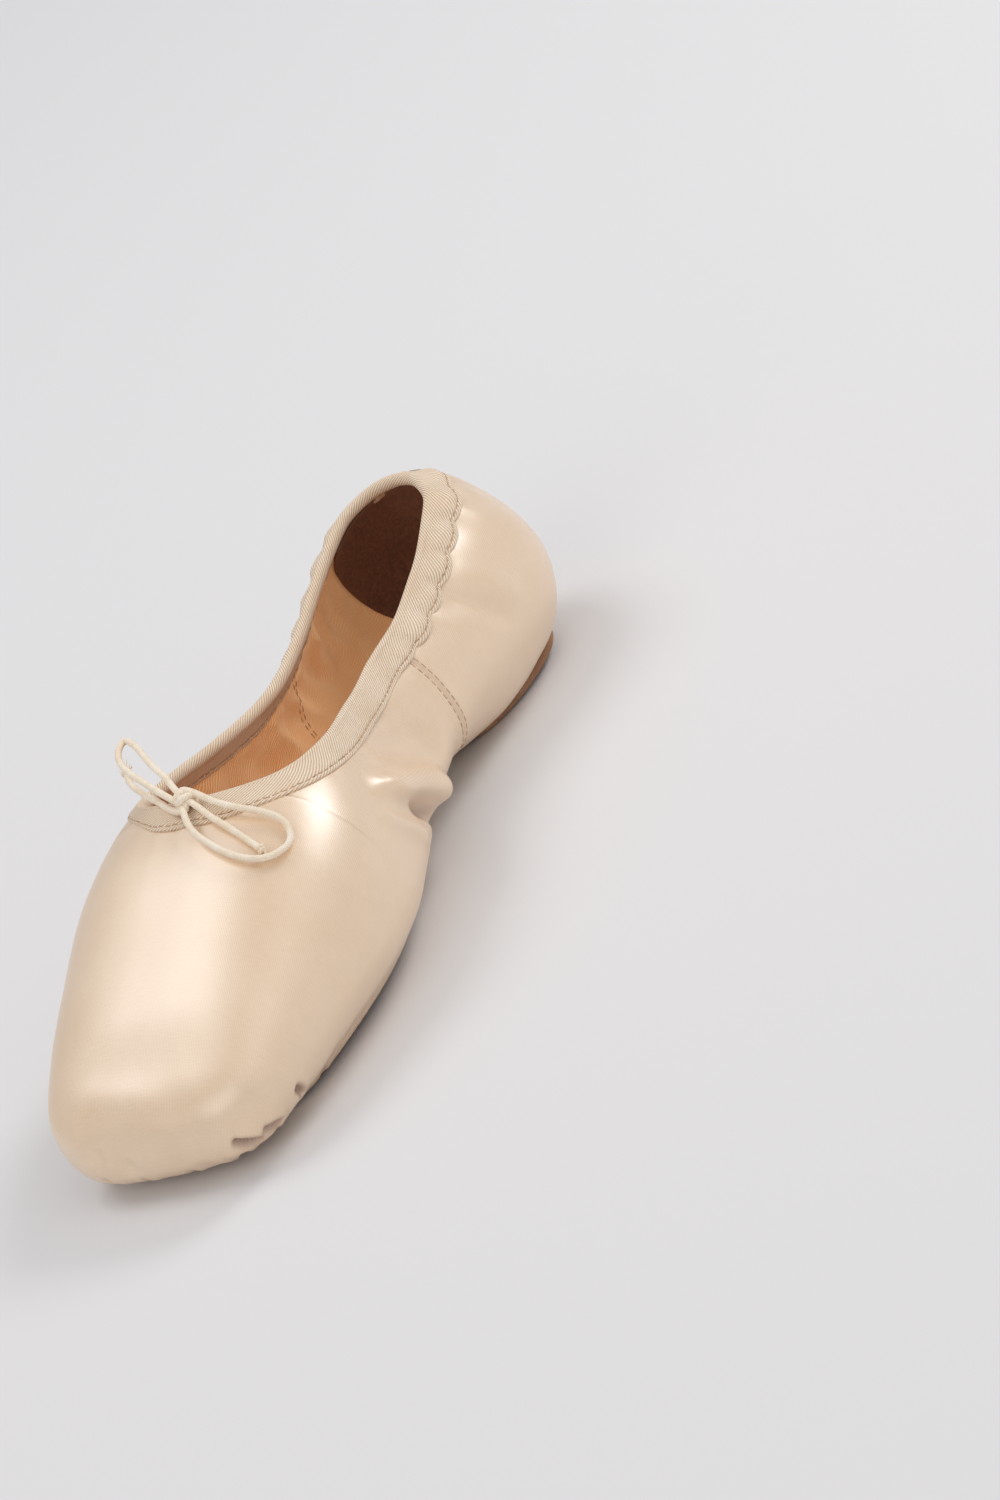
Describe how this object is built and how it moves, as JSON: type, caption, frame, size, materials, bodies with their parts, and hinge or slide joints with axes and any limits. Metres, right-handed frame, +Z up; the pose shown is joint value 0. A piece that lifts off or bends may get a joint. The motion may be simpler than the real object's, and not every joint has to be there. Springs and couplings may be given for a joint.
{
  "type": "pointe shoe",
  "caption": "Satin pointe shoe with a boxed toe, a bound throat drawn in by an elastic cord tied in a bow, a leather outsole and a separate leather heel pad.",
  "frame": {"origin": "on the floor, under the middle of the shoe's length and width", "axes": "+Y along the shoe from the toe towards the heel, +Z up out of the throat, +X across"},
  "size_m": [0.0842, 0.2348, 0.0674],
  "materials": {
    "satin": "glossy woven satin",
    "binding_tape": "matt twill tape",
    "sole_leather": "matt embossed leather",
    "pad_leather": "matt napped leather",
    "sock": "matt suede cloth",
    "elastic": "matt braided elastic"
  },
  "bodies": {
    "root": {"upper": "satin", "binding": "binding_tape", "back_strip": "satin", "outsole": "sole_leather", "heel_pad": "pad_leather", "insole": "sock", "drawstring_knot": "elastic", "drawstring_loop_near": "elastic", "drawstring_loop_far": "elastic", "drawstring_end_near": "elastic", "drawstring_end_far": "elastic"}
  },
  "joints": []
}
